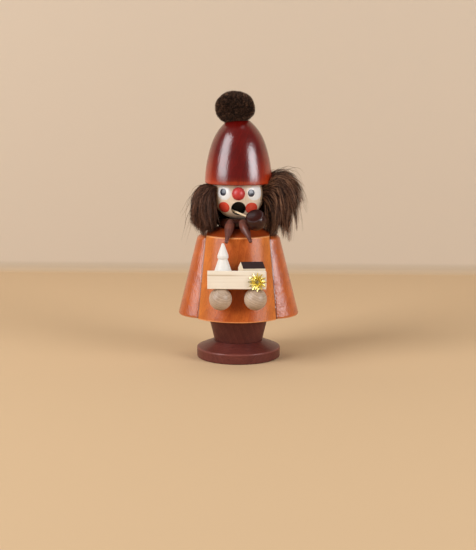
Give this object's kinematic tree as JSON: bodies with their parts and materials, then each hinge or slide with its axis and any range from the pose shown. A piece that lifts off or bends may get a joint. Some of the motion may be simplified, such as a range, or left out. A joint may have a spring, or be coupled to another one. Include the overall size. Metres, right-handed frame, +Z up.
{
  "type": "smoking figure",
  "caption": "Turned wooden smoking figure with a tall hat, pompom, fur hair, scarf and pipe, carrying a tray with a tree and a house; the hollow coat lifts off the base over an incense plate.",
  "frame": {"origin": "centre of the foot disc's flat underside, on the turning axis of the figure", "axes": "+Z is up, along the turning axis; the coat's front, with the tray, faces -Y; the figure's left hand is towards +X"},
  "size_m": [0.0928, 0.0874, 0.2024],
  "materials": {
    "base_stain": "dark red-brown stain under clear gloss",
    "plate_metal": "pressed tinplate, dulled by heat",
    "tack_steel": "bright steel tack",
    "coat_stain": "orange-brown stain under clear gloss",
    "bare_wood": "bare pale wood under thin clear varnish",
    "scarf_stain": "plum-brown stain under clear gloss",
    "face_wood": "pale wood with painted eyes and cheeks under clear varnish",
    "red_lacquer": "red gloss lacquer on a wooden bead",
    "hat_stain": "deep red stain under clear gloss",
    "pompom_fur": "short dark brown fur pile",
    "hide": "pale suede underside of a fur strip",
    "hair_fur": "long brown fur pile",
    "pipe_stain": "dark plum stain under clear gloss",
    "stem_wood": "bare pale wooden rod",
    "tray_wood": "bare pale wood moulding, sanded",
    "white_paint": "white paint on turned wood",
    "house_wood": "bare pale wood with the roof slopes painted dark brown",
    "gold_foil": "bright gold metallised foil"
  },
  "bodies": {
    "base": {"foot_disc": "base_stain", "trousers": "base_stain", "incense_plate": "plate_metal", "plate_tack": "tack_steel"},
    "figure": {"coat": "coat_stain", "arm_right": "coat_stain", "arm_left": "coat_stain", "hand_right": "bare_wood", "hand_left": "bare_wood", "hand_dowels": "bare_wood", "collar": "scarf_stain", "scarf_end_right": "scarf_stain", "scarf_end_left": "scarf_stain", "head": "face_wood", "nose": "red_lacquer", "hat": "hat_stain", "hat_dowel": "bare_wood", "pompom": "pompom_fur", "hide_strip": "hide", "fur_right": "hair_fur", "fur_left": "hair_fur", "fur_back": "hair_fur", "pipe_bowl": "pipe_stain", "pipe_stem": "stem_wood", "tray": "tray_wood", "tree": "white_paint", "house": "house_wood", "tinsel_star": "gold_foil", "star_tack": "tack_steel"}
  },
  "joints": [
    {"name": "figure_lifts_off", "type": "slide", "parent": "base", "child": "figure", "axis": [0, 0, 1], "range_m": [0, 0.06]}
  ]
}
